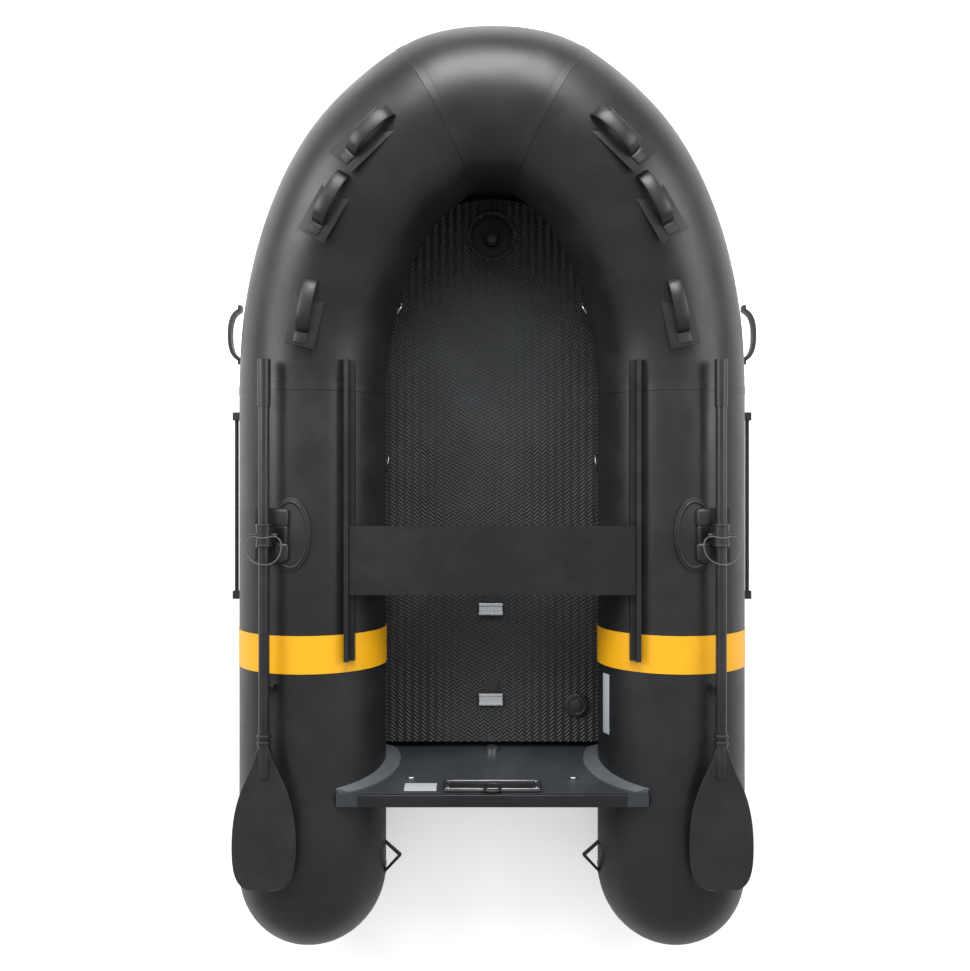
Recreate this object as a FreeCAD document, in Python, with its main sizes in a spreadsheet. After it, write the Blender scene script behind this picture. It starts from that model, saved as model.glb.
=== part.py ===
import FreeCAD, Part
import math
import os

# An inflatable dinghy with side tubes, a bow tube, an air floor, a transom,
# a sliding bench and two oars on swivelling oarlocks.
# Millimetres. +Y points to the bow, +X to starboard, +Z up. The boat stands on Z = 0.

Vector = FreeCAD.Vector
doc = FreeCAD.newDocument("inflatable_boat")

SIZES = {
    "tube_radius": 218,        # radius of the buoyancy tubes
    "tube_offset": 538,        # centreline of each side tube, from the middle plane
    "stern_end": 1325,         # aft end of the side tubes
    "baffle_y": 340,           # where side tubes meet the bow tube
    "bow_y": 1107,             # centreline of the bow panel
    "bow_rise": 170,           # how far the bow lifts
    "bow_panel_half": 150,     # half the straight bow panel
    "floor_top": 130,
    "floor_thick": 60,
    "floor_half": 350,
    "floor_front": 930,
    "well_radius": 65,         # opening in the floor round the keel valve
    "well_y": 817,
    "transom_y": 755,          # inner foot of the transom, aft of the middle
    "transom_top": 425,
    "transom_thick": 35,
    "transom_half": 440,
    "transom_rake": 10,
    "band_front": -382,        # colour band round each side tube
    "band_width": 107,
    "band_thick": 1.5,
    "rail_offset": 404.5,      # inner face of each bench rail
    "rail_width": 13,
    "rail_front": 396,
    "rail_length": 852,
    "bench_width": 194,
    "bench_thick": 20,
    "bench_bottom": 405,
    "bench_y": -268,
    "slip": 1.5,               # running gap at the ends of the bench
    "seat_gap": 0.3,
    "oar_offset": 632,
    "oar_height": 470,
    "oar_radius": 15,
    "oar_front": 389,
    "oar_length": 1064,
    "grip_length": 130,
    "grip_radius": 18,
    "blade_length": 405,
    "blade_width": 181,
    "blade_thick": 12,
    "lock_y": -98,             # oarlock pin
    "pin_radius": 8,
    "lock_base_height": 24,
    "rope_radius": 6,
    "rope_front": 236,
    "rope_length": 513,
}

sheet = doc.addObject("Spreadsheet::Sheet", "Sizes")
for row, (alias, size) in enumerate(SIZES.items(), start=1):
    sheet.set("A%d" % row, alias)
    sheet.set("B%d" % row, str(size))
    sheet.setAlias("B%d" % row, alias)
doc.recompute()


def size(alias):
    return float(getattr(sheet, alias))


def bind(obj, **rules):
    """Tie properties of an object to the sheet; an underscore pair stands for a dot."""
    for prop, rule in rules.items():
        obj.setExpression(prop.replace("__", "."), rule)
    return obj


def box(name, **rules):
    return bind(doc.addObject("Part::Box", name), **rules)


def cylinder(name, **rules):
    return bind(doc.addObject("Part::Cylinder", name), **rules)


def cut(name, base, tool):
    obj = doc.addObject("Part::Cut", name)
    obj.Base = base
    obj.Tool = tool
    return obj


def fuse(name, *pieces):
    obj = doc.addObject("Part::MultiFuse", name)
    obj.Shapes = list(pieces)
    return obj


def feature(name, shape):
    obj = doc.addObject("Part::Feature", name)
    obj.Shape = shape
    return obj


SIDES = {"port": -1, "starboard": 1}
parts = []


def keep(obj, label):
    obj.Label = label
    parts.append(obj)
    return obj


def along_y(obj):
    """Turn a cylinder made along Z so that it runs towards -Y."""
    obj.Placement.Rotation = FreeCAD.Rotation(Vector(1, 0, 0), 90)
    return obj


R = size("tube_radius")


# ---- buoyancy tubes

def side_tube_shape(side, radius, rear, front):
    """A straight tube closed by a round stern end."""
    centre = -rear + radius
    tip = Vector(0, -rear, 0)
    middle = Vector(radius * math.cos(math.pi / 4), centre - radius * math.sin(math.pi / 4), 0)
    shoulder = Vector(radius, centre, 0)
    corner = Vector(radius, front, 0)
    last = Vector(0, front, 0)
    edges = [
        Part.Arc(tip, middle, shoulder).toShape(),
        Part.makeLine(shoulder, corner),
        Part.makeLine(corner, last),
        Part.makeLine(last, tip),
    ]
    face = Part.Face(Part.Wire(edges))
    solid = face.revolve(Vector(0, 0, 0), Vector(0, 1, 0), 360)
    solid.translate(Vector(side * size("tube_offset"), 0, R))
    return Part.Solid(solid.Shells[0]) if solid.ShapeType != "Solid" else solid


def bow_stations():
    """Centre and heading of each ring of the bow tube, from starboard to the middle."""
    start_x = size("tube_offset")
    start_y = size("baffle_y")
    span = size("bow_y") - start_y
    # share of the side tube's offset, share of the way to the bow, heading
    curve = ((1.0, 0.0, 0), (0.967, 0.235, 9), (0.877, 0.456, 19), (0.74, 0.652, 29), (0.567, 0.808, 41))
    stations = [(Vector(start_x * wide, start_y + span * along, 0), heading)
                for wide, along, heading in curve]
    half = size("bow_panel_half")
    stations.append((Vector(half, size("bow_y") - 22, 0), 65))
    stations.append((Vector(half / 3, size("bow_y"), 0), 88))
    return stations


def bow_tube_shape():
    rise = size("bow_rise")
    span = size("bow_y") - size("baffle_y")
    right = []
    for centre, heading in bow_stations():
        along = (centre.y - size("baffle_y")) / span
        lift = rise * along * along * (3 - 2 * along)
        right.append((Vector(centre.x, centre.y, R + lift), heading))
    left = [(Vector(-centre.x, centre.y, centre.z), 180 - heading) for centre, heading in reversed(right)]
    wires = []
    for centre, heading in right + left:
        ring = Part.makeCircle(R)
        ring.rotate(Vector(0, 0, 0), Vector(1, 0, 0), -90)
        ring.rotate(Vector(0, 0, 0), Vector(0, 0, 1), heading)
        ring.translate(centre)
        wires.append(Part.Wire([ring]))
    return Part.makeLoft(wires, True, True)


side_shapes = {}
for side_name, side in SIDES.items():
    side_shapes[side_name] = side_tube_shape(side, R, size("stern_end"), size("baffle_y"))
    keep(feature("SideTube_" + side_name, side_shapes[side_name]), "side_tube_" + side_name)
bow_shape = bow_tube_shape()
bow = keep(feature("BowTube", bow_shape), "bow_tube")


# ---- colour bands

for side_name, side in SIDES.items():
    centre_x = "%d * Sizes.tube_offset" % side
    outer = cylinder("BandOuter_" + side_name, Radius="Sizes.tube_radius + Sizes.band_thick",
                     Height="Sizes.band_width", Placement__Base__x=centre_x,
                     Placement__Base__y="Sizes.band_front", Placement__Base__z="Sizes.tube_radius")
    inner = cylinder("BandInner_" + side_name, Radius="Sizes.tube_radius", Height="Sizes.band_width",
                     Placement__Base__x=centre_x, Placement__Base__y="Sizes.band_front",
                     Placement__Base__z="Sizes.tube_radius")
    ring = cut("BandRing_" + side_name, along_y(outer), along_y(inner))
    # the band stops short of the strip of tube that meets the ground
    ground = box("BandGround_" + side_name, Length="200", Width="Sizes.band_width + 20", Height="18",
                 Placement__Base__x=centre_x + " - 100",
                 Placement__Base__y="Sizes.band_front - Sizes.band_width - 10",
                 Placement__Base__z="-10")
    keep(cut("Band_" + side_name, ring, ground), "colour_band_" + side_name)

# what lies against the tubes is cut to this shape
tubes = fuse("AllTubes", *parts)


# ---- air floor and the bottom of the hull

def floor_shape():
    half = size("floor_half")
    rear = -size("transom_y")
    front = size("floor_front")
    shoulder = front - half
    low = size("floor_top") - size("floor_thick")
    edges = [
        Part.makeLine(Vector(-half, rear, low), Vector(half, rear, low)),
        Part.makeLine(Vector(half, rear, low), Vector(half, shoulder, low)),
        Part.Arc(Vector(half, shoulder, low), Vector(0, front, low), Vector(-half, shoulder, low)).toShape(),
        Part.makeLine(Vector(-half, shoulder, low), Vector(-half, rear, low)),
    ]
    plate = Part.Face(Part.Wire(edges)).extrude(Vector(0, 0, size("floor_thick")))
    well = Part.makeCylinder(size("well_radius"), size("floor_thick"), Vector(0, size("well_y"), low))
    return plate.cut(well)


def bottom_shape():
    """The shallow V of the hull's skin, which lifts under the bow."""
    top = size("floor_top") - size("floor_thick")
    half = size("floor_half")
    stations = (
        (-size("transom_y"), half, 8, top),
        (size("baffle_y"), half, 8, top),
        (size("floor_front") - 200, half * 0.8, 30, top),
        (size("floor_front") + 20, half * 0.6, 58, top),
        (size("bow_y") + 40, half * 0.4, 165, size("bow_rise") + 30),
    )
    wires = []
    for y, wide, keel, deck in stations:
        shoulder = (keel + deck) / 2
        points = [Vector(-wide, y, deck), Vector(-wide, y, shoulder), Vector(0, y, keel),
                  Vector(wide, y, shoulder), Vector(wide, y, deck), Vector(-wide, y, deck)]
        wires.append(Part.makePolygon(points))
    return Part.makeLoft(wires, True, True)


keep(cut("Floor", feature("FloorBlank", floor_shape()), tubes), "air_floor")
keep(cut("Bottom", feature("BottomBlank", bottom_shape()), tubes), "hull_bottom")


# ---- valves

def valve(name, label, x, y, z, radius, height, axis=Vector(0, 0, 1)):
    shape = Part.makeCylinder(radius, height, Vector(x, y, z), axis)
    return keep(feature(name, shape.makeFillet(min(3, height / 3), [shape.Edges[0]])), label)


valve("KeelValve", "keel_valve", 0, size("well_y"), size("floor_top") - size("floor_thick"), 24, 34)
valve("FloorValve", "floor_valve", 262, -640, size("floor_top"), 34, 9)


# ---- transom

def transom_blank(grow):
    """The raked board, grown on every side by the same amount."""
    height = size("transom_top") - 25
    board = Part.makeBox(2 * size("transom_half"), size("transom_thick") + grow, height)
    board.translate(Vector(-size("transom_half"), -size("transom_thick") - grow, 0))
    board.rotate(Vector(0, 0, 0), Vector(1, 0, 0), size("transom_rake"))
    board.translate(Vector(0, -size("transom_y") - 6, 32))
    return board


keep(cut("Transom", feature("TransomBlank", transom_blank(0)), tubes), "transom_board")


def on_transom(shape):
    """Carry a shape drawn on the board's inner face to its raked place."""
    shape.rotate(Vector(0, 0, 0), Vector(1, 0, 0), size("transom_rake"))
    shape.translate(Vector(0, -size("transom_y") - 6, 32))
    return shape


pad = Part.makeBox(280, 6, 60, Vector(-140, 0, 325))
keep(feature("MotorPad", on_transom(pad)), "motor_pad")
outer_pad = Part.makeBox(300, 6, 250, Vector(-150, -size("transom_thick") - 6, 130))
keep(feature("OuterPad", on_transom(outer_pad)), "outer_motor_pad")
plug = Part.makeCylinder(18, 14, Vector(0, 0, 115), Vector(0, 1, 0))
keep(feature("DrainPlug", on_transom(plug)), "drain_plug")
bolts = [on_transom(Part.makeCylinder(8, 6, Vector(x, 0, 300), Vector(0, 1, 0))) for x in (-235, 235)]
keep(feature("TransomBolts", Part.makeCompound(bolts)), "transom_bolts")


# ---- bench and its rails

for side_name, side in SIDES.items():
    inner_x = size("rail_offset") if side > 0 else -size("rail_offset") - size("rail_width")
    ledge_x = size("rail_offset") - 14 if side > 0 else -size("rail_offset") - size("rail_width")
    lip = box("RailLip_" + side_name, Width="Sizes.rail_length", Length="Sizes.rail_width",
              Height="Sizes.bench_thick + 6", Placement__Base__x="%s" % inner_x,
              Placement__Base__y="Sizes.rail_front - Sizes.rail_length",
              Placement__Base__z="Sizes.bench_bottom - 0.3")
    ledge = box("RailLedge_" + side_name, Width="Sizes.rail_length", Length="Sizes.rail_width + 14",
                Height="40", Placement__Base__x="%s" % ledge_x,
                Placement__Base__y="Sizes.rail_front - Sizes.rail_length",
                Placement__Base__z="Sizes.bench_bottom - 0.3 - 40")
    rail = cut("Rail_" + side_name, fuse("RailBlank_" + side_name, lip, ledge), tubes)
    keep(rail, "bench_rail_" + side_name)

bench = box("Bench", Length="2 * (Sizes.rail_offset - Sizes.slip)", Width="Sizes.bench_width",
            Height="Sizes.bench_thick", Placement__Base__x="Sizes.slip - Sizes.rail_offset",
            Placement__Base__y="Sizes.bench_y", Placement__Base__z="Sizes.bench_bottom")
keep(bench, "bench_board")


# ---- grab handles on the bow, carrying handles and life lines

def strap_handle(place, turn, pitch):
    """A moulded strap that arches between two feet."""
    outer = [Vector(-100, 0, 0), Vector(-60, 0, 4), Vector(-35, 0, 34), Vector(35, 0, 34),
             Vector(60, 0, 4), Vector(100, 0, 0)]
    inner = [Vector(100, 0, -9), Vector(56, 0, -9), Vector(29, 0, 27), Vector(-29, 0, 27),
             Vector(-56, 0, -9), Vector(-100, 0, -9)]
    points = outer + inner
    strap = Part.Face(Part.makePolygon(points + points[:1])).extrude(Vector(0, 36, 0))
    strap.translate(Vector(0, -18, 0))
    strap.rotate(Vector(0, 0, 0), Vector(0, 1, 0), -pitch)
    strap.rotate(Vector(0, 0, 0), Vector(0, 0, 1), turn)
    strap.translate(place)
    return strap


# place along the boat, offset from the middle plane, height, heading inwards, pitch upwards
BOW_HANDLES = ((541, 514, 464, 10, 13), (805, 431, 544, 26, 16), (975, 318, 588, 40, 9))
for side_name, side in SIDES.items():
    straps = []
    for y, x, z, heading, pitch in BOW_HANDLES:
        straps.append(strap_handle(Vector(side * x, y, z), side * (90 + heading), side * pitch))
    handles = cut("Handles_" + side_name, feature("HandleBlank_" + side_name,
                  straps[0].multiFuse(straps[1:])), tubes)
    keep(handles, "bow_handles_" + side_name)

for side_name, side in SIDES.items():
    wall_x = size("tube_offset") + R
    foot_a = Part.makeBox(40, 22, 30, Vector(wall_x - 12, 405, R - 15))
    foot_b = Part.makeBox(40, 22, 30, Vector(wall_x - 12, 560, R - 15))
    bar = Part.makeBox(14, 177, 30, Vector(wall_x + 24, 405, R - 15))
    grip = foot_a.multiFuse([foot_b, bar])
    if side < 0:
        grip = grip.mirror(Vector(0, 0, 0), Vector(1, 0, 0))
    handle = cut("SideHandle_" + side_name, feature("SideHandleBlank_" + side_name, grip), tubes)
    keep(handle, "side_handle_" + side_name)

    eye_y = size("rope_front")
    eye_x = wall_x - 8
    eyes = [Part.makeBox(32, 24, 24, Vector(eye_x, eye_y, R - 12)),
            Part.makeBox(32, 24, 24, Vector(eye_x, eye_y - size("rope_length") - 24, R - 12))]
    eye_set = eyes[0].multiFuse(eyes[1:])
    if side < 0:
        eye_set = eye_set.mirror(Vector(0, 0, 0), Vector(1, 0, 0))
    eye = cut("Eyes_" + side_name, feature("EyeBlank_" + side_name, eye_set), tubes)
    keep(eye, "rope_eyes_" + side_name)
    rope = cylinder("Rope_" + side_name, Radius="Sizes.rope_radius", Height="Sizes.rope_length",
                    Placement__Base__x="%d * (Sizes.tube_offset + Sizes.tube_radius + 14)" % side,
                    Placement__Base__y="Sizes.rope_front", Placement__Base__z="Sizes.tube_radius")
    keep(along_y(rope), "life_line_" + side_name)


# ---- oarlocks and oars

for side_name, side in SIDES.items():
    lock_x = "%d * Sizes.oar_offset" % side
    base_block = box("LockBlock_" + side_name, Length="80", Width="150", Height="Sizes.lock_base_height + 30",
                     Placement__Base__x=lock_x + " - 40 - %d * 10" % side,
                     Placement__Base__y="Sizes.lock_y - 75",
                     Placement__Base__z="Sizes.oar_height - 24 - Sizes.lock_base_height - 30")
    bore = cylinder("LockBore_" + side_name, Radius="Sizes.pin_radius + 0.05", Height="40",
                    Placement__Base__x=lock_x, Placement__Base__y="Sizes.lock_y",
                    Placement__Base__z="Sizes.oar_height - 24 - 30")
    solid_base = cut("LockSolid_" + side_name, base_block, tubes)
    keep(cut("LockBase_" + side_name, solid_base, bore), "oarlock_base_" + side_name)

    pin = cylinder("LockPin_" + side_name, Radius="Sizes.pin_radius", Height="31",
                   Placement__Base__x=lock_x, Placement__Base__y="Sizes.lock_y",
                   Placement__Base__z="Sizes.oar_height - 24 - 24")
    collar = cylinder("LockCollar_" + side_name, Radius="Sizes.oar_radius + 7", Height="60",
                      Placement__Base__x=lock_x, Placement__Base__y="Sizes.lock_y + 30",
                      Placement__Base__z="Sizes.oar_height")
    hole = cylinder("LockHole_" + side_name, Radius="Sizes.oar_radius", Height="60",
                    Placement__Base__x=lock_x, Placement__Base__y="Sizes.lock_y + 30",
                    Placement__Base__z="Sizes.oar_height")
    yoke = fuse("LockYoke_" + side_name, pin, along_y(collar))
    keep(cut("Oarlock_" + side_name, yoke, along_y(hole)), "oarlock_" + side_name)

    shaft = cylinder("Shaft_" + side_name, Radius="Sizes.oar_radius",
                     Height="Sizes.oar_length - Sizes.grip_length",
                     Placement__Base__x=lock_x, Placement__Base__y="Sizes.oar_front - Sizes.grip_length",
                     Placement__Base__z="Sizes.oar_height")
    keep(along_y(shaft), "oar_shaft_" + side_name)
    grip = cylinder("Grip_" + side_name, Radius="Sizes.grip_radius", Height="Sizes.grip_length",
                    Placement__Base__x=lock_x, Placement__Base__y="Sizes.oar_front",
                    Placement__Base__z="Sizes.oar_height")
    keep(along_y(grip), "oar_grip_" + side_name)

    neck_y = size("oar_front") - size("oar_length")
    wide = size("blade_width") / 2
    tip_y = neck_y - size("blade_length")
    flat = size("oar_height") - size("blade_thick") / 2
    outline = [Vector(-wide * 0.22, neck_y, flat), Vector(wide * 0.22, neck_y, flat),
               Vector(wide * 0.85, neck_y - 150, flat), Vector(wide, neck_y - 240, flat),
               Vector(wide * 0.92, tip_y + 45, flat), Vector(wide * 0.55, tip_y, flat),
               Vector(-wide * 0.55, tip_y, flat), Vector(-wide * 0.92, tip_y + 45, flat),
               Vector(-wide, neck_y - 240, flat), Vector(-wide * 0.85, neck_y - 150, flat)]
    blade = Part.Face(Part.makePolygon(outline + outline[:1])).extrude(Vector(0, 0, size("blade_thick")))
    blade.translate(Vector(side * size("oar_offset"), 0, 0))
    keep(feature("Blade_" + side_name, blade), "oar_blade_" + side_name)

    # the clip on the tube that carries the stowed oar behind the band
    clip_y = -540
    clip = Part.makeBox(40, 22, 60, Vector(side * size("oar_offset") - 20, clip_y, size("oar_height") - 75.3))
    keep(cut("Clip_" + side_name, feature("ClipBlank_" + side_name, clip), tubes), "oar_rest_" + side_name)


# ---- towing loops at the stern and strap slides on the floor

for side_name, side in SIDES.items():
    inside = size("tube_offset") - R
    points = [Vector(inside + 14, -1015, R), Vector(inside - 48, -1070, R), Vector(inside + 14, -1135, R),
              Vector(inside + 14, -1129, R), Vector(inside - 40, -1070, R), Vector(inside + 14, -1021, R)]
    loop = Part.Face(Part.makePolygon(points + points[:1])).extrude(Vector(0, 0, 20))
    if side < 0:
        loop = loop.mirror(Vector(0, 0, 0), Vector(1, 0, 0))
    towing = cut("TowLoop_" + side_name, feature("TowLoopBlank_" + side_name, loop), tubes)
    keep(towing, "stern_loop_" + side_name)

slides = [Part.makeBox(74, 34, 12, Vector(-40, y, size("floor_top"))) for y in (-360, -640)]
keep(feature("StrapSlides", Part.makeCompound(slides)), "strap_slides")


# ---- check every object, then write the parts

doc.recompute()
for obj in doc.Objects:
    if "Invalid" in obj.State or "Error" in obj.State:
        raise RuntimeError("failed: " + obj.Name + " " + str(obj.State))
os.makedirs("parts", exist_ok=True)
for obj in parts:
    if obj.Shape.isNull() or not obj.Shape.isValid():
        raise RuntimeError("bad shape: " + obj.Label)
for obj in parts:
    obj.Shape.exportStep("parts/" + obj.Label + ".step")
    bb = obj.Shape.BoundBox
    print(obj.Label, len(obj.Shape.Solids), round(obj.Shape.Volume),
          [round(v, 1) for v in (bb.XMin, bb.YMin, bb.ZMin, bb.XMax, bb.YMax, bb.ZMax)])
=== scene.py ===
import math
import bmesh
import bpy
from mathutils import Matrix, Vector


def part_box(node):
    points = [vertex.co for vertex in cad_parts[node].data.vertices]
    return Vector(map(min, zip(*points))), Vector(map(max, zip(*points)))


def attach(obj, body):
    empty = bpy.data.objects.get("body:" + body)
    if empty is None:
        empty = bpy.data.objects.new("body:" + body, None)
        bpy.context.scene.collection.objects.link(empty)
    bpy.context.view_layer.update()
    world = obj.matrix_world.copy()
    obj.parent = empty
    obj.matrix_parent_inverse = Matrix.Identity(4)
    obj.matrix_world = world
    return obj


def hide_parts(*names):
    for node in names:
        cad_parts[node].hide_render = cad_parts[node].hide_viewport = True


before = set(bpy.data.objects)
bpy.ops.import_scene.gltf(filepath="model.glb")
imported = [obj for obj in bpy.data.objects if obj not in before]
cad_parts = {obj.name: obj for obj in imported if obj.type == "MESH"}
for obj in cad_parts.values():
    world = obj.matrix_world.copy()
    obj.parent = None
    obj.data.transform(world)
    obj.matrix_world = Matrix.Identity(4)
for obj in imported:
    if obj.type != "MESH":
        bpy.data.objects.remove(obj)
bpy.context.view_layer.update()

bl_info = {
    "name": "Inflatable dinghy",
    "version": (1, 0, 0),
    "blender": (4, 5, 0),
    "location": "View3D > Sidebar > Dinghy",
    "description": "Skins, fittings and finishes of an inflatable dinghy",
    "category": "Object",
}

TUBE_LOW, TUBE_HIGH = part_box("side_tube_starboard")
BOW_LOW, BOW_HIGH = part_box("bow_tube")
RADIUS = (TUBE_HIGH[2] - TUBE_LOW[2]) / 2
OFFSET = (TUBE_HIGH[0] + TUBE_LOW[0]) / 2
STERN = TUBE_LOW[1]
SIDES = {"port": -1, "starboard": 1}
QUARTER_TURN = math.radians(90)
RAKE = math.radians(10)  # lean of the transom

# the camera: its sensor and lens in millimetres, and its place above the boat
SENSOR_WIDTH = 36
LENS = SENSOR_WIDTH * 993 / 970
EYE_PLACE = (-0.021, 0.040, 3.218)


# ---- sizes and colours a user would change

class DinghySettings(bpy.types.PropertyGroup):
    fabric: bpy.props.FloatVectorProperty(
        name="Tube fabric", description="Colour of the coated fabric of the tubes",
        subtype="COLOR", size=3, default=(0.009, 0.0097, 0.0108), min=0, max=1)
    band: bpy.props.FloatVectorProperty(
        name="Band", description="Colour of the band round each side tube",
        subtype="COLOR", size=3, default=(0.86, 0.42, 0.004), min=0, max=1)
    trim: bpy.props.FloatVectorProperty(
        name="Trim", description="Colour of rubber and moulded fittings",
        subtype="COLOR", size=3, default=(0.008, 0.008, 0.009), min=0, max=1)
    seam_width: bpy.props.FloatProperty(
        name="Seam tape", description="Width of the tape over each seam of the tubes",
        unit="LENGTH", default=0.026, min=0.005, max=0.08)


def settings():
    return bpy.context.scene.dinghy


# ---- finishes

def shader_group(name, inputs, outputs):
    group = bpy.data.node_groups.new(name, "ShaderNodeTree")
    for label, kind, value in inputs:
        socket = group.interface.new_socket(name=label, in_out="INPUT", socket_type=kind)
        if value is not None:
            socket.default_value = value
    for label, kind in outputs:
        group.interface.new_socket(name=label, in_out="OUTPUT", socket_type=kind)
    return group, group.nodes.new("NodeGroupInput"), group.nodes.new("NodeGroupOutput")


def fine_grain_group():
    """Grain of coated cloth or moulded plastic: a height, and a mask of faint scuffs."""
    found = bpy.data.node_groups.get("Fine grain")
    if found:
        return found
    group, given, result = shader_group(
        "Fine grain",
        (("Scale", "NodeSocketFloat", 400.0), ("Scuff scale", "NodeSocketFloat", 6.0)),
        (("Height", "NodeSocketFloat"), ("Scuffs", "NodeSocketFloat")))
    coords = group.nodes.new("ShaderNodeTexCoord")
    grain = group.nodes.new("ShaderNodeTexNoise")
    grain.inputs["Detail"].default_value = 3.0
    scuff = group.nodes.new("ShaderNodeTexNoise")
    scuff.inputs["Detail"].default_value = 8.0
    scuff.inputs["Roughness"].default_value = 0.65
    ramp = group.nodes.new("ShaderNodeMapRange")
    ramp.inputs["From Min"].default_value = 0.42
    ramp.inputs["From Max"].default_value = 0.72
    link = group.links.new
    link(coords.outputs["Object"], grain.inputs["Vector"])
    link(coords.outputs["Object"], scuff.inputs["Vector"])
    link(given.outputs["Scale"], grain.inputs["Scale"])
    link(given.outputs["Scuff scale"], scuff.inputs["Scale"])
    link(scuff.outputs["Fac"], ramp.inputs["Value"])
    link(grain.outputs["Fac"], result.inputs["Height"])
    link(ramp.outputs["Result"], result.inputs["Scuffs"])
    return group


def chevron_group():
    """Woven chevrons in the XY plane, for the top of the floor mat."""
    found = bpy.data.node_groups.get("Chevrons")
    if found:
        return found
    group, given, result = shader_group(
        "Chevrons", (("Column", "NodeSocketFloat", 0.012), ("Pitch", "NodeSocketFloat", 0.012)),
        (("Height", "NodeSocketFloat"),))
    coords = group.nodes.new("ShaderNodeTexCoord")
    parts = group.nodes.new("ShaderNodeSeparateXYZ")
    group.links.new(coords.outputs["Object"], parts.inputs[0])

    def maths(operation, first, second):
        node = group.nodes.new("ShaderNodeMath")
        node.operation = operation
        for socket, value in zip(node.inputs, (first, second)):
            if isinstance(value, (int, float)):
                socket.default_value = value
            else:
                group.links.new(value, socket)
        return node.outputs[0]

    zigzag = maths("PINGPONG", parts.outputs["X"], given.outputs["Column"])
    slope = maths("ADD", parts.outputs["Y"], zigzag)
    turns = maths("MULTIPLY", maths("DIVIDE", slope, given.outputs["Pitch"]), 2 * math.pi)
    wave = maths("SINE", turns, 0.0)
    group.links.new(maths("MULTIPLY_ADD", wave, 0.5), result.inputs["Height"])
    return group


WEAVE_STRENGTH = 0.9
WEAVE_DEPTH = 0.003
SCUFF_ROUGHNESS = 0.12  # how much rougher the scuffed spots are


def finish_material(name, colour, roughness, scale, bump=0.15, distance=0.0004, metallic=0.0,
                    scuffed=1.35, pattern=None):
    """A finish with fine grain and faint scuffs, and a woven relief where a pattern is given."""
    found = bpy.data.materials.get(name)
    if found:
        return found
    material = bpy.data.materials.new(name)
    material.use_nodes = True
    nodes, link = material.node_tree.nodes, material.node_tree.links.new
    shader = nodes["Principled BSDF"]
    shader.inputs["Metallic"].default_value = metallic
    grain = nodes.new("ShaderNodeGroup")
    grain.node_tree = fine_grain_group()
    grain.inputs["Scale"].default_value = scale
    tint = nodes.new("ShaderNodeMix")
    tint.data_type = "RGBA"
    tint.inputs["A"].default_value = (*colour, 1)
    tint.inputs["B"].default_value = (*[min(1, c * scuffed) for c in colour], 1)
    rough = nodes.new("ShaderNodeMapRange")
    rough.inputs["To Min"].default_value = roughness
    rough.inputs["To Max"].default_value = min(1, roughness + SCUFF_ROUGHNESS)
    relief = nodes.new("ShaderNodeBump")
    relief.inputs["Strength"].default_value = bump
    relief.inputs["Distance"].default_value = distance
    link(grain.outputs["Scuffs"], tint.inputs["Factor"])
    link(grain.outputs["Scuffs"], rough.inputs["Value"])
    link(tint.outputs["Result"], shader.inputs["Base Color"])
    link(rough.outputs["Result"], shader.inputs["Roughness"])
    link(grain.outputs["Height"], relief.inputs["Height"])
    if pattern:
        weave = nodes.new("ShaderNodeGroup")
        weave.node_tree = pattern
        second = nodes.new("ShaderNodeBump")
        second.inputs["Strength"].default_value = WEAVE_STRENGTH
        second.inputs["Distance"].default_value = WEAVE_DEPTH
        link(weave.outputs["Height"], second.inputs["Height"])
        link(relief.outputs["Normal"], second.inputs["Normal"])
        link(second.outputs["Normal"], shader.inputs["Normal"])
    else:
        link(relief.outputs["Normal"], shader.inputs["Normal"])
    return material


def tube_fabric():
    return finish_material("Tube fabric", tuple(settings().fabric), 0.36, scale=900, bump=0.12,
                           scuffed=1.6)


def band_fabric():
    return finish_material("Band fabric", tuple(settings().band), 0.42, scale=900, bump=0.1,
                           scuffed=0.92)


def rubber():
    return finish_material("Rubber trim", tuple(settings().trim), 0.38, scale=700, bump=0.2,
                           scuffed=2.0)


def plastic():
    return finish_material("Moulded plastic", (0.012, 0.012, 0.013), 0.33, scale=1200, bump=0.25,
                           scuffed=1.8)


def floor_mat():
    return finish_material("Floor mat", (0.020, 0.022, 0.024), 0.40, scale=900,
                           pattern=chevron_group())


def bench_paint():
    return finish_material("Bench paint", (0.008, 0.008, 0.009), 0.28, scale=300, bump=0.05,
                           scuffed=1.8)


def board_skin():
    return finish_material("Board skin", (0.030, 0.034, 0.040), 0.38, scale=800, bump=0.1,
                           scuffed=1.5)


def grey_strip():
    return finish_material("Grey strip", (0.075, 0.080, 0.086), 0.5, scale=600)


def steel():
    return finish_material("Steel", (0.62, 0.62, 0.62), 0.28, scale=300, bump=0.05, metallic=1.0,
                           scuffed=0.85)


def pale_plate():
    return finish_material("Bare plate", (0.42, 0.44, 0.45), 0.45, scale=300, bump=0.05,
                           scuffed=0.9)


def rope_fibre():
    return finish_material("Rope fibre", (0.010, 0.010, 0.010), 0.7, scale=420, bump=0.9,
                           distance=0.002, scuffed=3.0)


# ---- helpers

BEVEL_SEGMENTS = 3
BEVEL_ANGLE = math.radians(40)  # edges sharper than this are rounded
SMOOTH_ANGLE = math.radians(35)


def pick(piece):
    """Make one piece the active and only selected one."""
    bpy.ops.object.select_all(action="DESELECT")
    bpy.context.view_layer.objects.active = piece
    piece.select_set(True)


def new_object(name, data):
    piece = bpy.data.objects.new(name, data)
    bpy.context.scene.collection.objects.link(piece)
    return piece


def settle(piece, name, material, body, slot_name, *stands_for):
    """Name a finished piece, give it its finish and let it ride on its body."""
    pick(piece)
    bpy.ops.object.transform_apply(location=True, rotation=True, scale=True)
    piece.name = name
    piece.data.materials.clear()
    piece.data.materials.append(material)
    bpy.ops.object.shade_smooth_by_angle(angle=SMOOTH_ANGLE)
    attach(piece, body)
    if stands_for:
        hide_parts(*stands_for)
    return piece


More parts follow.
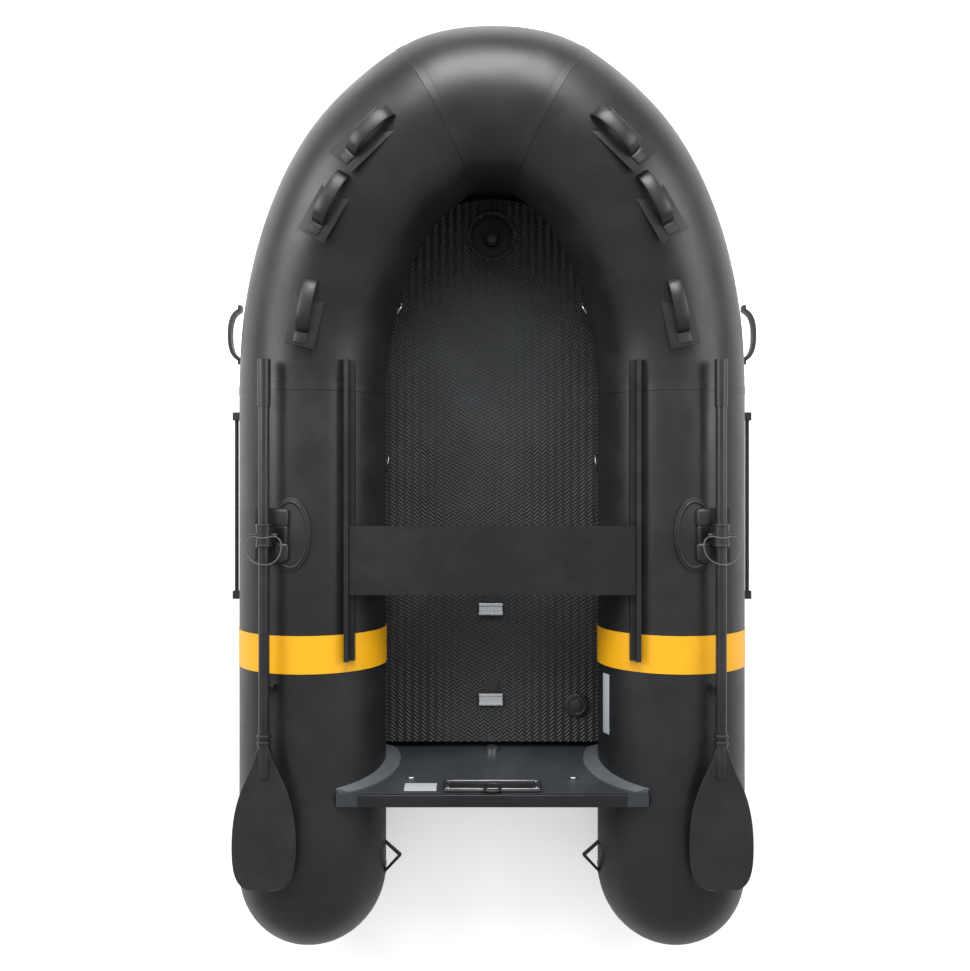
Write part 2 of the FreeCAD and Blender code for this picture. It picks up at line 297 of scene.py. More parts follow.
def mesh_object(name, build):
    """A mesh object that build fills through a bmesh, with its faces turned outwards."""
    mesh = bpy.data.meshes.new(name)
    shape = bmesh.new()
    build(shape)
    bmesh.ops.remove_doubles(shape, verts=shape.verts, dist=1e-6)
    bmesh.ops.recalc_face_normals(shape, faces=shape.faces)
    shape.to_mesh(mesh)
    shape.free()
    return new_object(name, mesh)


def skin_rings(shape, rings):
    """Join rings of points, each with the same count, into a tube with closed ends."""
    rows = [[shape.verts.new(point) for point in ring] for ring in rings]
    count = len(rows[0])
    for first, second in zip(rows, rows[1:]):
        for k in range(count):
            after = (k + 1) % count
            shape.faces.new((first[k], first[after], second[after], second[k]))
    shape.faces.new(rows[0])
    shape.faces.new(list(reversed(rows[-1])))


def soft_bevel(piece, width):
    pick(piece)
    bevel = piece.modifiers.new("Edges", "BEVEL")
    bevel.width = width
    bevel.segments = BEVEL_SEGMENTS
    bevel.limit_method = "ANGLE"
    bevel.angle_limit = BEVEL_ANGLE
    bpy.ops.object.modifier_apply(modifier=bevel.name)
    return piece


def block(centre, sizes, bevel=0.003, turn=(0, 0, 0)):
    bpy.ops.object.select_all(action="DESELECT")
    bpy.ops.mesh.primitive_cube_add(size=1, location=centre, rotation=turn)
    piece = bpy.context.object
    piece.scale = sizes
    bpy.ops.object.transform_apply(location=True, rotation=True, scale=True)
    return soft_bevel(piece, bevel)


def disc(centre, radius, depth, turn=(0, 0, 0), bevel=0.002, sides=48):
    bpy.ops.object.select_all(action="DESELECT")
    bpy.ops.mesh.primitive_cylinder_add(vertices=sides, radius=radius, depth=depth,
                                        location=centre, rotation=turn)
    piece = bpy.context.object
    bpy.ops.object.transform_apply(location=True, rotation=True, scale=True)
    return soft_bevel(piece, bevel)


def ring(centre, radius, wire, turn=(0, 0, 0)):
    bpy.ops.object.select_all(action="DESELECT")
    bpy.ops.mesh.primitive_torus_add(major_radius=radius, minor_radius=wire, location=centre,
                                     rotation=turn, major_segments=48, minor_segments=12)
    return bpy.context.object


def join(pieces):
    bpy.ops.object.select_all(action="DESELECT")
    for piece in pieces:
        piece.select_set(True)
    bpy.context.view_layer.objects.active = pieces[0]
    bpy.ops.object.join()
    return bpy.context.object


# ---- the line of the tubes

BAFFLE = BOW_LOW[1]
BOW_CENTRE = BOW_HIGH[1] - RADIUS
BOW_RISE = 0.170
# each bend's share of the side tube's offset, and its share of the way to the bow
CURVE = ((1.0, 0.0), (0.967, 0.235), (0.877, 0.456), (0.74, 0.652), (0.567, 0.808))
# distance from the middle plane, and setback from the bow's foremost centre
BOW_PANEL = ((0.172, 0.040), (0.070, 0.002))
RUN_IN = 0.15  # straight run before the bend, which gives it its direction
STEPS_PER_BEND = 8
END_RINGS = 16
SIDE_RINGS = 30


def smooth_points(points, steps):
    """Catmull-Rom points through the given ones."""
    result = []
    padded = [points[0] * 2 - points[1]] + points + [points[-1] * 2 - points[-2]]
    for a, b, c, d in zip(padded, padded[1:], padded[2:], padded[3:]):
        for step in range(steps):
            f = step / steps
            result.append(0.5 * (2 * b + (c - a) * f + (2 * a - 5 * b + 4 * c - d) * f * f
                                 + (3 * b - a - 3 * c + d) * f ** 3))
    result.append(points[-1])
    return result


def bow_line():
    """Centreline of the bow tube from the starboard baffle to the port one."""
    span = BOW_CENTRE - BAFFLE
    half = [Vector((OFFSET * wide, BAFFLE + span * along, 0)) for wide, along in CURVE]
    half += [Vector((aside, BOW_CENTRE - setback, 0)) for aside, setback in BOW_PANEL]
    for point in half:
        share = (point.y - BAFFLE) / span
        point.z = RADIUS + BOW_RISE * share * share * (3 - 2 * share)
    whole = half + [Vector((-p.x, p.y, p.z)) for p in reversed(half)]
    lead = Vector((OFFSET, BAFFLE - RUN_IN, RADIUS))
    tail = Vector((-OFFSET, BAFFLE - RUN_IN, RADIUS))
    return [p for p in smooth_points([lead] + whole + [tail], STEPS_PER_BEND)
            if p.y > BAFFLE - 0.001]


def ring_points(centre, along, radius, segments=96, first=0.0, last=2 * math.pi):
    flat = Vector((along.x, along.y, 0)).normalized()
    across = Vector((flat.y, -flat.x, 0))
    full = abs(last - first - 2 * math.pi) < 1e-6
    count = segments if full else segments - 1
    return [centre + across * (radius * math.cos(first + (last - first) * k / count))
            + Vector((0, 0, radius * math.sin(first + (last - first) * k / count)))
            for k in range(segments)]


def tube_stations():
    """Centre, direction and radius of each ring from one stern end round to the other."""
    starboard = []
    dome = STERN + RADIUS
    for step in range(1, END_RINGS + 1):
        angle = step / END_RINGS * math.pi / 2
        starboard.append((Vector((OFFSET, dome - RADIUS * math.cos(angle), RADIUS)),
                          Vector((0, 1, 0)), RADIUS * math.sin(angle)))
    for step in range(1, SIDE_RINGS):
        y = dome + (BAFFLE - dome) * step / SIDE_RINGS
        starboard.append((Vector((OFFSET, y, RADIUS)), Vector((0, 1, 0)), RADIUS))
    line = bow_line()
    middle = []
    for k, centre in enumerate(line):
        before = line[max(0, k - 1)]
        after = line[min(len(line) - 1, k + 1)]
        middle.append((centre, (after - before).normalized(), RADIUS))
    port = [(Vector((-c.x, c.y, c.z)), Vector((d.x, -d.y, 0)), r)
            for c, d, r in reversed(starboard)]
    return starboard + middle + port


def on_tube(y, side, round_angle, lift):
    """Place, direction and outward normal at a spot on the tube; the angle starts outboard."""
    if y <= BAFFLE:
        centre, along = Vector((OFFSET, y, RADIUS)), Vector((0, 1, 0))
    else:
        line = [p for p in bow_line() if p.x > 0]
        k = min(range(len(line)), key=lambda i: abs(line[i].y - y))
        centre = line[k].copy()
        along = (line[min(len(line) - 1, k + 1)] - line[max(0, k - 1)]).normalized()
    flat = Vector((along.x, along.y, 0)).normalized()
    across = Vector((flat.y, -flat.x, 0))
    out = across * math.cos(round_angle) + Vector((0, 0, math.sin(round_angle)))
    place = centre + out * (RADIUS + lift)
    if side < 0:
        place.x, along.x, out.x = -place.x, -along.x, -out.x
    return place, along, out


def stand_on(piece, place, along, out):
    """Lay a piece drawn flat at the origin, its length along Y, on a spot of the tube."""
    side_way = along.cross(out).normalized()
    ahead = out.cross(side_way).normalized()
    turn = Matrix((side_way, ahead, out)).transposed().to_4x4()
    piece.data.transform(Matrix.Translation(place) @ turn)
    return piece


TAPE_RISE = 0.0012
TAPE_SUNK = 0.001  # how deep the tape's edges lie in the skin
TAPE_SHOULDER = 0.002
TAPE_FROM = math.radians(-80)
TAPE_TO = math.radians(260)
SIDE_SEAM = 0.02  # the side seam's distance behind the baffle
PANEL_SEAM = 0.165  # the bow panel's seams, from the middle plane


class DINGHY_OT_tubes(bpy.types.Operator):
    """Skin the side tubes, the stern ends and the bow as one inflated tube, with its seam tapes"""
    bl_idname = "dinghy.tubes"
    bl_label = "Tubes"

    def execute(self, context):
        stations = tube_stations()
        skin = mesh_object("tube_skin", lambda shape: skin_rings(
            shape, [ring_points(c, d, r) for c, d, r in stations]))
        settle(skin, "tube_skin", tube_fabric(), "hull", "tube_fabric",
               "side_tube_port", "side_tube_starboard", "bow_tube")
        half = settings().seam_width / 2
        raised = RADIUS + TAPE_RISE
        sunk = RADIUS - TAPE_SUNK

        def tape(shape, centre, direction):
            flat = Vector((direction.x, direction.y, 0)).normalized()
            rows = [ring_points(centre + flat * shift, direction, radius, 64, TAPE_FROM, TAPE_TO)
                    for shift, radius in ((-half, sunk), (-half + TAPE_SHOULDER, raised),
                                          (half - TAPE_SHOULDER, raised), (half, sunk))]
            verts = [[shape.verts.new(p) for p in row] for row in rows]
            for one, two in zip(verts, verts[1:]):
                for k in range(len(one) - 1):
                    shape.faces.new((one[k], one[k + 1], two[k + 1], two[k]))

        def tapes(shape):
            for side in SIDES.values():
                tape(shape, Vector((side * OFFSET, BAFFLE - SIDE_SEAM, RADIUS)),
                     Vector((0, 1, 0)))
            line = bow_line()
            for side in SIDES.values():
                k = min(range(len(line)), key=lambda i: abs(line[i].x - side * PANEL_SEAM))
                tape(shape, line[k], (line[k + 1] - line[k - 1]).normalized())
        settle(mesh_object("seam_tapes", tapes), "seam_tapes", tube_fabric(), "hull",
               "tube_fabric")
        return {"FINISHED"}


STRAP_STEPS = 32
STRAP_ARCH = 2.6  # 1 is a pointed arch, and more is squarer


def strap(width, length, height, thick, foot=0.035):
    """A moulded strap that arches between two flat feet, drawn along Y on Z = 0."""
    half = length / 2
    line = []
    for step in range(STRAP_STEPS + 1):
        share = step / STRAP_STEPS * 2 - 1
        reach = max(0.0, 1 - abs(share * half) / (half - foot))
        rise = height * (1 - (1 - reach) ** STRAP_ARCH) ** 0.5 if reach > 0 else 0.0
        line.append((share * half, rise))

    def build(shape):
        rings = []
        for k, (y, z) in enumerate(line):
            a = line[max(0, k - 1)]
            b = line[min(len(line) - 1, k + 1)]
            slope = Vector((0, b[0] - a[0], b[1] - a[1])).normalized()
            up = Vector((0, -slope.z, slope.y))
            middle = Vector((0, y, z))
            wide = width / 2
            corners = [(-wide, 0), (-wide, thick * 0.7), (-wide * 0.8, thick),
                       (wide * 0.8, thick), (wide, thick * 0.7), (wide, 0)]
            rings.append([middle + Vector((x, 0, 0)) + up * h for x, h in corners])
        skin_rings(shape, rings)
    return mesh_object("strap", build)


# place along the boat, and degrees round the tube from its outboard side
HANDLES = ((0.541, 91), (0.800, 86), (0.965, 84))
HANDLE_STRAP = (0.036, 0.215, 0.036, 0.005)  # width, length, height, thickness
HANDLE_PATCH = (0.085, 0.235, 0.0025)
PATCH_SUNK = 0.0008
CARRY_WIDTH, CARRY_HEIGHT, CARRY_THICK, CARRY_FOOT = 0.030, 0.030, 0.011, 0.02


class DINGHY_OT_handles(bpy.types.Operator):
    """Strap handles on patches round the bow, and the carrying handles on the sides"""
    bl_idname = "dinghy.handles"
    bl_label = "Handles"

    def execute(self, context):
        for side_name, side in SIDES.items():
            straps = []
            patches = []
            for y, degrees in HANDLES:
                place, along, out = on_tube(y, side, math.radians(degrees), 0.001)
                straps.append(stand_on(strap(*HANDLE_STRAP), place, along, out))
                patches.append(stand_on(block((0, 0, 0), HANDLE_PATCH, bevel=0.001),
                                        place - out * PATCH_SUNK, along, out))
            settle(join(straps), "bow_handle_straps_" + side_name, rubber(), "hull", "rubber_trim",
                   "bow_handles_" + side_name)
            settle(join(patches), "bow_handle_patches_" + side_name, tube_fabric(), "hull",
                   "tube_fabric")
            low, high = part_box("side_handle_" + side_name)
            middle = (low[1] + high[1]) / 2
            wall = side * (OFFSET + RADIUS)
            bar = strap(CARRY_WIDTH, high[1] - low[1], CARRY_HEIGHT, CARRY_THICK, CARRY_FOOT)
            stand_on(bar, Vector((wall - side * 0.002, middle, RADIUS)), Vector((0, 1, 0)),
                     Vector((side, 0, 0)))
            settle(bar, "carrying_handle_" + side_name, plastic(), "hull", "rubber_trim",
                   "side_handle_" + side_name)
        return {"FINISHED"}


WELL_RADIUS, WELL_WIRE, WELL_FLATNESS = 0.072, 0.008, 0.7
SLIDE_BARS = 0.014  # half the distance between the two bars of a slide
SLIDE_HALF = 0.017  # half a slide's length along the boat
WEB_AHEAD = 0.030


class DINGHY_OT_floor(bpy.types.Operator):
    """Finish the floor mat, its well and valves, and the strap slides"""
    bl_idname = "dinghy.floor"
    bl_label = "Floor"

    def execute(self, context):
        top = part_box("floor_valve")[0][2]
        well_low, well_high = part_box("keel_valve")
        well = Vector(((well_low[0] + well_high[0]) / 2, (well_low[1] + well_high[1]) / 2, top))
        rim = ring(well, WELL_RADIUS, WELL_WIRE)
        rim.scale.z = WELL_FLATNESS
        settle(rim, "well_rim", floor_mat(), "hull", "floor_mat")
        cap = join([disc((well.x, well.y, well_high[2] + 0.003), 0.019, 0.012, bevel=0.004),
                    ring((well.x, well.y, well_high[2] + 0.002), 0.022, 0.003)])
        settle(cap, "keel_valve_cap", plastic(), "hull", "moulded_plastic")
        low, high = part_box("floor_valve")
        spot = Vector(((low[0] + high[0]) / 2, (low[1] + high[1]) / 2, high[2]))
        valve = join([disc((spot.x, spot.y, spot.z - 0.003), 0.037, 0.012, bevel=0.004),
                      ring((spot.x, spot.y, spot.z + 0.003), 0.028, 0.003),
                      disc((spot.x, spot.y, spot.z + 0.003), 0.017, 0.012, bevel=0.004)])
        settle(valve, "floor_valve_cap", plastic(), "hull", "moulded_plastic", "floor_valve")
        slides = []
        webs = []
        low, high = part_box("strap_slides")
        for y in (low[1] + SLIDE_HALF, high[1] - SLIDE_HALF):
            middle = (low[0] + high[0]) / 2
            for dy in (-SLIDE_BARS, SLIDE_BARS):
                slides.append(block((middle, y + dy, top + 0.009), (0.074, 0.009, 0.006),
                                    bevel=0.002))
            slides.append(block((middle, y, top + 0.008), (0.072, 0.030, 0.003), bevel=0.001))
            webs.append(block((middle, y + WEB_AHEAD, top + 0.003), (0.050, 0.055, 0.003),
                              bevel=0.001))
        settle(join(slides), "strap_slide_buckles", pale_plate(), "hull", "grey_plastic",
               "strap_slides")
        settle(join(webs), "strap_webs", rubber(), "hull", "rubber_trim")
        return {"FINISHED"}


# places across the transom, and heights up its inner face
PAD_HEIGHT = 0.355
FRAME_RAILS = (0.330, 0.380)
FRAME_ENDS = (-0.132, 0.132)
SCREW_ENDS = (-0.125, 0.125)
SCREW_HEIGHTS = (0.336, 0.374)
BOLT_ENDS = (-0.235, 0.235)
BOLT_HEIGHT = 0.300
STRIP_FOOT, STRIP_TOP, STRIP_STEPS = 0.09, 0.385, 16
STRIP_WIDTH = 0.044


class DINGHY_OT_transom(bpy.types.Operator):
    """Dress the transom: corner strips, framed motor pad, plate, bolts and top edge"""
    bl_idname = "dinghy.transom"
    bl_label = "Transom"

    def execute(self, context):
        low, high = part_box("transom_board")
        foot = Vector((0, high[1], low[2] + 0.006))

        def at(x, out, up):
            """A place on the raked board: across it, out from its inner face and up it."""
            return Vector((x, foot.y + out * math.cos(RAKE) - up * math.sin(RAKE),
                           foot.z + out * math.sin(RAKE) + up * math.cos(RAKE)))

        turn = (RAKE, 0, 0)
        face_on = (QUARTER_TURN + RAKE, 0, 0)
        pad = block(at(0, 0.004, PAD_HEIGHT), (0.280, 0.010, 0.062), bevel=0.006, turn=turn)
        knob = ring(at(0, 0.010, 0.372), 0.024, 0.005, turn=face_on)
        settle(join([pad, knob]), "motor_pad_plate", plastic(), "hull", "moulded_plastic",
               "motor_pad")
        frame_bars = [block(at(0, 0.010, up), (0.268, 0.003, 0.004), bevel=0.001, turn=turn)
                      for up in FRAME_RAILS]
        frame_bars += [block(at(x, 0.010, PAD_HEIGHT), (0.004, 0.003, 0.050), bevel=0.001,
                             turn=turn) for x in FRAME_ENDS]
        screws = [disc(at(x, 0.011, up), 0.004, 0.004, turn=face_on, bevel=0.001, sides=24)
                  for x in SCREW_ENDS for up in SCREW_HEIGHTS]
        settle(join(frame_bars + screws), "motor_pad_frame", steel(), "hull", "steel")
        bolts = [disc(at(x, 0.004, BOLT_HEIGHT), 0.010, 0.010, turn=face_on, bevel=0.003, sides=32)
                 for x in BOLT_ENDS]
        settle(join(bolts), "transom_bolt_heads", steel(), "hull", "steel", "transom_bolts")
        plate = block(at(-0.205, 0.0008, 0.352), (0.092, 0.0016, 0.046), bevel=0.0006, turn=turn)
        settle(plate, "blank_plate", pale_plate(), "hull", "steel")
        top = block(at(0, -0.0175, 0.397), (0.760, 0.038, 0.010), bevel=0.003, turn=turn)
        settle(top, "transom_cap", rubber(), "hull", "rubber_trim")
        strips = []
        for side in SIDES.values():
            def build(shape, side=side):
                rows = []
                for step in range(STRIP_STEPS + 1):
                    up = STRIP_FOOT + (STRIP_TOP - STRIP_FOOT) * step / STRIP_STEPS
                    z = foot.z + up
                    half = math.sqrt(max(0.0, RADIUS ** 2 - (z - RADIUS) ** 2))
                    edge = OFFSET - half
                    inner = max(0.0, edge - STRIP_WIDTH)
                    rows.append([at(side * x, out, up) for x, out in
                                 ((edge, 0.0), (edge, 0.016), (inner, 0.003), (inner, 0.0))])
                skin_rings(shape, rows)
            strips.append(mesh_object("strip", build))
        settle(join(strips), "transom_corner_strips", grey_strip(), "hull", "rubber_trim")
        return {"FINISHED"}


# share of the way from neck to tip, and share of the full half width
BLADE_OUTLINE = ((0.0, 0.20), (0.10, 0.27), (0.22, 0.52), (0.36, 0.80), (0.52, 0.96), (0.68, 1.0),
                 (0.82, 0.98), (0.92, 0.88), (0.975, 0.68), (1.0, 0.42))
BLADE_CUP = 0.006
BLADE_STEPS = 12


def blade_mesh(side_name):
    """A cupped oar blade with a rib that fades towards the tip."""
    low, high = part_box("oar_blade_" + side_name)
    middle = Vector(((low[0] + high[0]) / 2, 0, (low[2] + high[2]) / 2))
    neck, tip = high[1], low[1]
    wide = (high[0] - low[0]) / 2

    def build(shape):
        rings = []
        for share, width in BLADE_OUTLINE:
            y = neck + (tip - neck) * share
            rib = 0.013 * max(0.0, 1 - share / 0.85) + 0.003
            edge = 0.0035 + 0.012 * max(0.0, 1 - share / 0.15)
            points = []
            for k in range(BLADE_STEPS + 1):
                across = k / BLADE_STEPS * 2 - 1
                height = edge + (rib - edge) * max(0.0, 1 - abs(across) * (1.5 + 4 * share))
                points.append(Vector((middle.x + across * wide * width, y,
                                      middle.z + height + BLADE_CUP * across * across * share)))
            for k in range(BLADE_STEPS, -1, -1):
                across = k / BLADE_STEPS * 2 - 1
                points.append(Vector((middle.x + across * wide * width, y,
                                      middle.z - edge + BLADE_CUP * across * across * share)))
            rings.append(points)
        skin_rings(shape, rings)
    piece = mesh_object("blade", build)
    pick(piece)
    smooth = piece.modifiers.new("Smooth", "SUBSURF")
    smooth.levels = smooth.render_levels = 2
    bpy.ops.object.modifier_apply(modifier=smooth.name)
    return piece


LOCK_REACH = 0.028  # knobs and collars, from the oarlock's pin
HOOD_REACH = 0.048
HOOD_INBOARD = 0.040
HOOD_HEIGHT = 0.438


class DINGHY_OT_oars(bpy.types.Operator):
    """Shape the blades, sockets and collars of the oars, and the oarlocks' knobs and hoods"""
    bl_idname = "dinghy.oars"
    bl_label = "Oars"

    def execute(self, context):
        for side_name, side in SIDES.items():
            body = "oar_" + side_name
            settle(blade_mesh(side_name), "blade_" + side_name, plastic(), body,
                   "moulded_plastic", "oar_blade_" + side_name)
            low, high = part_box("oar_shaft_" + side_name)
            x, z = (low[0] + high[0]) / 2, (low[2] + high[2]) / 2
            turned = (QUARTER_TURN, 0, 0)
            rings = [disc((x, low[1] + shift, z), 0.0195, 0.012, turn=turned, bevel=0.003)
                     for shift in (0.004, 0.022)]
            rings.append(disc((x, low[1] - 0.045, z), 0.0175, 0.100, turn=turned, bevel=0.003))
            settle(join(rings), "blade_socket_" + side_name, plastic(), body,
                   "moulded_plastic")
            lock_low, lock_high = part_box("oarlock_" + side_name)
            lock_y = (lock_low[1] + lock_high[1]) / 2
            knobs = [disc((x + dx, lock_y, z), 0.007, 0.018, turn=(0, QUARTER_TURN, 0), bevel=0.003,
                          sides=24) for dx in (-LOCK_REACH, LOCK_REACH)]
            collars = [disc((x, lock_y + dy, z), 0.0228, 0.008, turn=turned, bevel=0.002)
                       for dy in (-LOCK_REACH, LOCK_REACH)]
            settle(join(knobs + collars), "oarlock_knobs_" + side_name, plastic(), body,
                   "moulded_plastic")
            hood_x = x - side * HOOD_INBOARD
            caps = [block((hood_x, lock_y + dy, HOOD_HEIGHT), (0.046, 0.052, 0.023), bevel=0.009)
                    for dy in (-HOOD_REACH, HOOD_REACH)]
            caps.append(block((hood_x, lock_y, HOOD_HEIGHT - 0.002), (0.040, 0.050, 0.020),
                              bevel=0.004))
            settle(join(caps), "oarlock_hood_" + side_name, plastic(), "hull", "moulded_plastic")
        return {"FINISHED"}


def round_curve(name, points, thickness, roundness):
    """A round curve through the given points, and its spline."""
    curve = bpy.data.curves.new(name, "CURVE")
    curve.dimensions = "3D"
    curve.bevel_depth = thickness
    curve.bevel_resolution = roundness
    spline = curve.splines.new("NURBS")
    spline.points.add(len(points) - 1)
    for k, point in enumerate(points):
        spline.points[k].co = (*point, 1)
    return curve, spline


def wire_loop(name, points, thickness):
    """A closed bent wire through the given points, as a mesh."""
    curve, spline = round_curve(name, points, thickness, 3)
    spline.use_cyclic_u = True
    spline.order_u = 3
    holder = new_object(name, curve)
    bpy.context.view_layer.update()
    mesh = bpy.data.meshes.new_from_object(holder)
    bpy.data.objects.remove(holder)
    return new_object(name, mesh)


# corners of a D-ring, drawn flat with its straight side at the origin
DEE = ((-0.022, 0, 0), (0.022, 0, 0), (0.022, 0.020, 0.004), (0.012, 0.036, 0.008),
       (-0.012, 0.036, 0.008), (-0.022, 0.020, 0.004))
DEE_WIRE = 0.0025
# place along the boat, and degrees round the tube from its outboard side
DEE_PLACES = ((0.62, 205), (0.10, 205))
# the leash's bends, from the pin: across, along and above the shaft's top
LEASH = ((-0.034, 0, -0.012), (-0.052, -0.02, -0.008), (-0.046, -0.055, -0.004),
         (-0.02, -0.078, 0.003), (0.02, -0.082, 0.003), (0.046, -0.06, -0.002),
         (0.052, -0.02, -0.006), (0.034, 0, -0.012), (0, -0.008, 0.012))
LEASH_WIRE = 0.0018
HALO_LENGTH, LIP_LENGTH = 1.75, 1.85  # times their width
STRAKE_STEPS, STRAKE_SIDES = 24, 12
LABEL_PLACE = (-0.60, math.radians(158))
ROPE_POINTS = 6


class DINGHY_OT_fittings(bpy.types.Operator):
    """Add the D-rings and their pads, the oarlocks' pads and leashes, the strakes and the label"""
    bl_idname = "dinghy.fittings"
    bl_label = "Small fittings"

    def execute(self, context):
        for side_name, side in SIDES.items():
            rings = []
            pads = []
            for y, degrees in DEE_PLACES:
                place, along, out = on_tube(y, side, math.radians(degrees), 0.002)
                rings.append(stand_on(wire_loop("dee", DEE, DEE_WIRE), place + out * 0.006,
                                      along, out))
                pads.append(stand_on(disc((0, 0, 0), 0.040, 0.004, bevel=0.0015),
                                     place, along, out))
            settle(join(rings), "dee_rings_" + side_name, steel(), "hull", "steel")
            settle(join(pads), "dee_ring_pads_" + side_name, rubber(), "hull", "rubber_trim")

            low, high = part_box("oarlock_base_" + side_name)
            lock_y = (low[1] + high[1]) / 2
            lock_x = side * (abs(low[0] + high[0]) / 2)
            spin = math.asin((OFFSET - abs(lock_x - side * 0.055)) / RADIUS) + math.pi / 2
            place, along, out = on_tube(lock_y, side, spin, 0.001)
            halo = disc((0, 0, 0), 0.060, 0.005, bevel=0.002, sides=64)
            for vertex in halo.data.vertices:
                vertex.co.y *= HALO_LENGTH
            lip = ring((0, 0, 0.003), 0.050, 0.0028)
            for vertex in lip.data.vertices:
                vertex.co.y *= LIP_LENGTH
            halo = stand_on(halo, place, along, out)
            lip = stand_on(lip, place, along, out)
            settle(join([halo, lip]), "oarlock_pad_" + side_name, tube_fabric(), "hull",
                   "tube_fabric")

            shaft_low, shaft_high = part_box("oar_shaft_" + side_name)
            x = (shaft_low[0] + shaft_high[0]) / 2
            z = shaft_high[2]
            leash = [(x + across, lock_y + along_y, z + up) for across, along_y, up in LEASH]
            settle(wire_loop("leash", leash, LEASH_WIRE), "oarlock_leash_" + side_name,
                   grey_strip(), "oar_" + side_name, "rubber_trim")

            strake_y = STERN + RADIUS
            sweep = []
            for step in range(STRAKE_STEPS + 1):
                turn = math.radians(-180 + step / STRAKE_STEPS * 150)
                across = Vector((side * math.cos(turn), math.sin(turn), 0))
                middle = (Vector((side * OFFSET, strake_y, RADIUS - 0.03))
                          + across * (RADIUS - 0.0065))
                angles = [k / STRAKE_SIDES * 2 * math.pi for k in range(STRAKE_SIDES)]
                sweep.append([middle + across * (0.006 * math.cos(a))
                              + Vector((0, 0, 0.016 * math.sin(a))) for a in angles])
            strake = mesh_object("strake", lambda shape: skin_rings(shape, sweep))
            settle(strake, "stern_strake_" + side_name, rubber(), "hull", "rubber_trim")

        label = block((0, 0, 0.0006), (0.036, 0.175, 0.0012), bevel=0.0004)
        place, along, out = on_tube(LABEL_PLACE[0], 1, LABEL_PLACE[1], 0.001)
        settle(stand_on(label, place, along, out), "bare_label", pale_plate(), "hull",
               "tube_fabric")
        return {"FINISHED"}


class DINGHY_OT_ropes(bpy.types.Operator):
    """Run the life line between its eyes on each side"""
    bl_idname = "dinghy.ropes"
    bl_label = "Life lines"

    def execute(self, context):
        for side_name, side in SIDES.items():
            low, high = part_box("life_line_" + side_name)
            x, z = (low[0] + high[0]) / 2, (low[2] + high[2]) / 2
            points = [(x, high[1] + (low[1] - high[1]) * k / (ROPE_POINTS - 1), z)
                      for k in range(ROPE_POINTS)]
            curve, spline = round_curve("life_line", points, (high[0] - low[0]) / 2, 6)
            spline.order_u = 3
            spline.use_endpoint_u = True
            piece = new_object("life_line_" + side_name + "_rope", curve)
            curve.materials.append(rope_fibre())
            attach(piece, "hull")
            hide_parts("life_line_" + side_name)
        return {"FINISHED"}


# ---- finishes of the pieces that keep their built shape

def plain_finishes():
    return {
        "air_floor": floor_mat, "hull_bottom": tube_fabric, "transom_board": board_skin,
        "outer_motor_pad": plastic, "keel_valve": plastic, "drain_plug": steel,
        "bench_board": bench_paint, "bench_rail_port": rubber, "bench_rail_starboard": rubber,
        "colour_band_port": band_fabric, "colour_band_starboard": band_fabric,
        "rope_eyes_port": rubber, "rope_eyes_starboard": rubber,
        "stern_loop_port": rubber, "stern_loop_starboard": rubber,
        "oar_rest_port": plastic, "oar_rest_starboard": plastic,
        "oarlock_base_port": plastic, "oarlock_base_starboard": plastic,
        "oarlock_port": plastic, "oarlock_starboard": plastic,
        "oar_shaft_port": plastic, "oar_shaft_starboard": plastic,
        "oar_grip_port": rubber, "oar_grip_starboard": rubber,
    }


class DINGHY_OT_finishes(bpy.types.Operator):
    """Give each built piece its finish"""
    bl_idname = "dinghy.finishes"
    bl_label = "Finishes"

    def execute(self, context):
        for node, material in plain_finishes().items():
            piece = bpy.data.objects[node]
            piece.data.materials.clear()
            piece.data.materials.append(material())
        return {"FINISHED"}


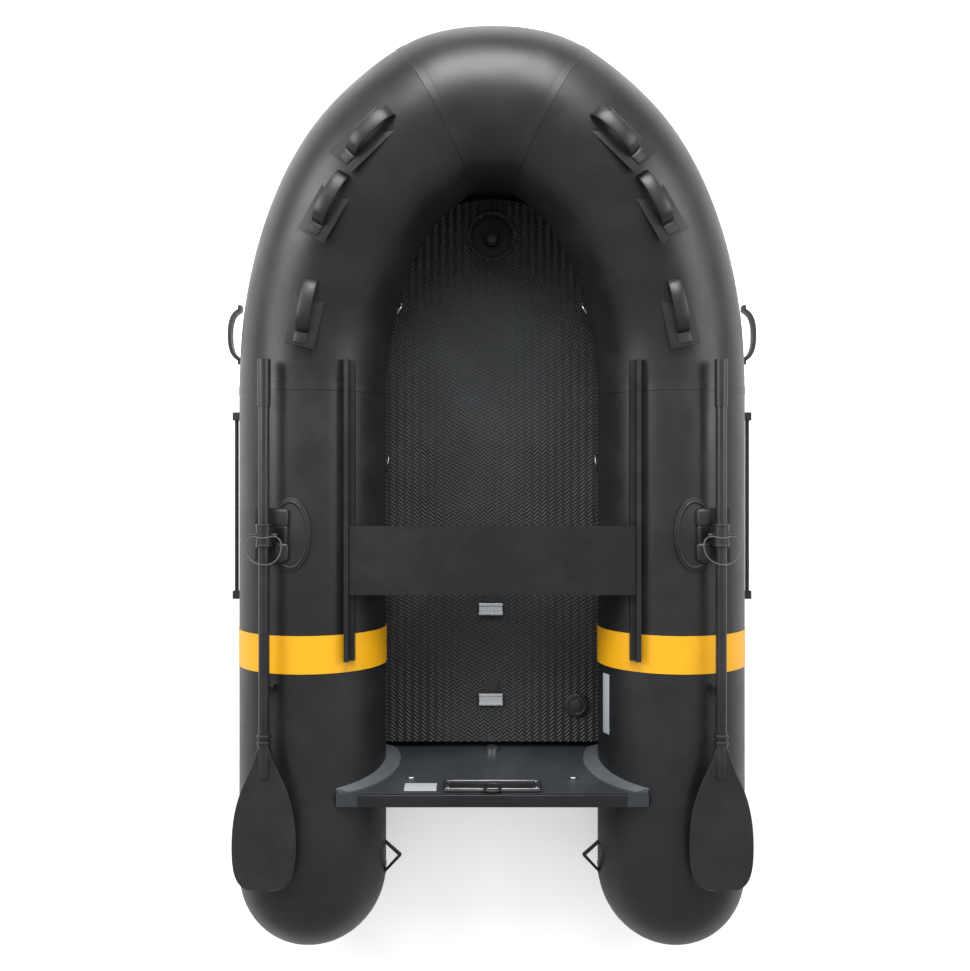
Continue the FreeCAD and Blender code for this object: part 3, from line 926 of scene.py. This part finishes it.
class DINGHY_OT_stage(bpy.types.Operator):
    """Set the floor, the lamps, the world and the camera above the boat"""
    bl_idname = "dinghy.stage"
    bl_label = "Stage"

    def execute(self, context):
        bpy.ops.object.select_all(action="DESELECT")
        bpy.ops.mesh.primitive_plane_add(size=40, location=(0, 0, -0.0005))
        ground = bpy.context.object
        ground.name = "stage_floor"
        pale = bpy.data.materials.new("Pale floor")
        pale.use_nodes = True
        nodes, link = pale.node_tree.nodes, pale.node_tree.links.new
        shader = nodes["Principled BSDF"]
        shader.inputs["Base Color"].default_value = (0.9, 0.9, 0.9, 1)
        shader.inputs["Roughness"].default_value = 0.9
        path = nodes.new("ShaderNodeLightPath")
        seen = nodes.new("ShaderNodeMath")
        seen.operation = "MULTIPLY"
        seen.inputs[1].default_value = 0.45
        shader.inputs["Emission Color"].default_value = (1, 1, 1, 1)
        link(path.outputs["Is Camera Ray"], seen.inputs[0])
        link(seen.outputs[0], shader.inputs["Emission Strength"])
        ground.data.materials.append(pale)

        world = bpy.data.worlds.new("Studio")
        bpy.context.scene.world = world
        world.use_nodes = True
        sky = world.node_tree.nodes["Background"]
        sky.inputs["Color"].default_value = (0.95, 0.97, 1.0, 1)
        sky.inputs["Strength"].default_value = 0.5

        # name, place, power, width and aim of each lamp
        lamps = (("key", (0.0, 3.4, 2.9), 190, 2.2, (0, 0.8, 0.3)),
                 ("left", (-3.0, 1.3, 2.4), 90, 2.0, (0, 0.4, 0.2)),
                 ("right", (3.0, 1.0, 2.4), 60, 2.0, (0, 0.4, 0.2)))
        for name, place, power, wide, target in lamps:
            lamp = bpy.data.lights.new(name, "AREA")
            lamp.energy = power
            lamp.size = wide
            aim = Vector(target) - Vector(place)
            holder = new_object(name, lamp)
            holder.location = place
            holder.rotation_euler = aim.to_track_quat("-Z", "Y").to_euler()

        eye = bpy.data.cameras.new("eye")
        eye.sensor_width = SENSOR_WIDTH
        eye.lens = LENS
        camera = new_object("eye", eye)
        camera.location = EYE_PLACE
        bpy.context.scene.camera = camera
        bpy.context.scene.view_settings.view_transform = "Standard"
        return {"FINISHED"}


OPERATORS = (DINGHY_OT_stage, DINGHY_OT_ropes, DINGHY_OT_finishes, DINGHY_OT_tubes,
             DINGHY_OT_handles, DINGHY_OT_floor, DINGHY_OT_transom, DINGHY_OT_oars,
             DINGHY_OT_fittings)


class DINGHY_PT_panel(bpy.types.Panel):
    """Lists the pieces of the dinghy"""
    bl_idname = "DINGHY_PT_panel"
    bl_label = "Dinghy"
    bl_space_type = "VIEW_3D"
    bl_region_type = "UI"
    bl_category = "Dinghy"

    def draw(self, context):
        for name in ("fabric", "band", "trim", "seam_width"):
            self.layout.prop(context.scene.dinghy, name)
        for operator in OPERATORS:
            self.layout.operator(operator.bl_idname)


CLASSES = (DinghySettings, *OPERATORS, DINGHY_PT_panel)


def register():
    for item in CLASSES:
        bpy.utils.register_class(item)
    bpy.types.Scene.dinghy = bpy.props.PointerProperty(type=DinghySettings)


def unregister():
    del bpy.types.Scene.dinghy
    for item in reversed(CLASSES):
        bpy.utils.unregister_class(item)


def main():
    register()
    for operator in OPERATORS:
        group, name = operator.bl_idname.split(".")
        getattr(getattr(bpy.ops, group), name)()
    bpy.context.view_layer.update()


if __name__ == "__main__":
    main()
